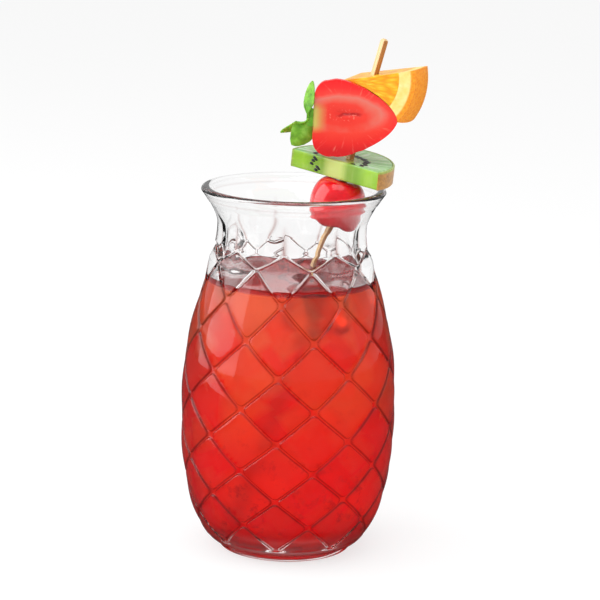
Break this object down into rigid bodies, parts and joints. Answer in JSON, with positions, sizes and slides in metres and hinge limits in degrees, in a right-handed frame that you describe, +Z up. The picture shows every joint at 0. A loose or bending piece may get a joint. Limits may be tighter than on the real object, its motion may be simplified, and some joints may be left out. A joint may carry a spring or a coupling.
{
  "type": "pineapple tiki glass",
  "caption": "Moulded pineapple-shaped glass with quilted diamonds, a scalloped neck and a flared lip, holding an iced drink and a fruit skewer that lifts out and comes apart.",
  "frame": {"origin": "middle of the foot, on the plane that the glass stands on", "axes": "+Z up from the table to the rim, the pictured front towards -Y, the skewer leaning towards +X"},
  "size_m": [0.0938, 0.0855, 0.2051],
  "materials": {
    "glass": "clear pressed glass, fire polished",
    "drink": "clear red-orange fruit drink, hazy above",
    "ice": "wet ice, slightly clouded",
    "pick": "plain split bamboo",
    "cherry": "wet, glossy",
    "kiwi_flesh": "moist cut flesh with dark seeds",
    "kiwi_skin": "brown, downy",
    "strawberry": "moist cut flesh, seeded skin behind",
    "calyx": "green leaf",
    "orange_flesh": "moist cut flesh",
    "orange_peel": "pored rind with a pale pith"
  },
  "bodies": {
    "glass": {"glass": "glass", "drink": "drink", "ice_cube_1": "ice", "ice_cube_2": "ice", "ice_cube_3": "ice", "ice_cube_4": "ice", "ice_cube_5": "ice", "ice_cube_6": "ice", "ice_cube_7": "ice", "ice_cube_8": "ice", "ice_cube_9": "ice", "ice_cube_10": "ice", "ice_cube_11": "ice", "ice_cube_12": "ice"},
    "skewer": {"pick": "pick"},
    "cherry": {"cherry": "cherry"},
    "kiwi": {"kiwi_flesh": "kiwi_flesh", "kiwi_skin": "kiwi_skin"},
    "strawberry": {"strawberry_half": "strawberry", "strawberry_calyx": "calyx"},
    "orange": {"orange_flesh": "orange_flesh", "orange_peel": "orange_peel"}
  },
  "joints": [
    {"name": "skewer_lift", "type": "slide", "parent": "glass", "child": "skewer", "axis": [0.247, 0, 0.969], "range_m": [0, 0.16]},
    {"name": "cherry_slide", "type": "slide", "parent": "skewer", "child": "cherry", "axis": [0.247, 0, 0.969], "range_m": [0, 0.08]},
    {"name": "kiwi_slide", "type": "slide", "parent": "cherry", "child": "kiwi", "axis": [0.247, 0, 0.969], "range_m": [0, 0.062]},
    {"name": "strawberry_slide", "type": "slide", "parent": "kiwi", "child": "strawberry", "axis": [0.247, 0, 0.969], "range_m": [0, 0.052]},
    {"name": "orange_slide", "type": "slide", "parent": "strawberry", "child": "orange", "axis": [0.247, 0, 0.969], "range_m": [0, 0.03]}
  ]
}
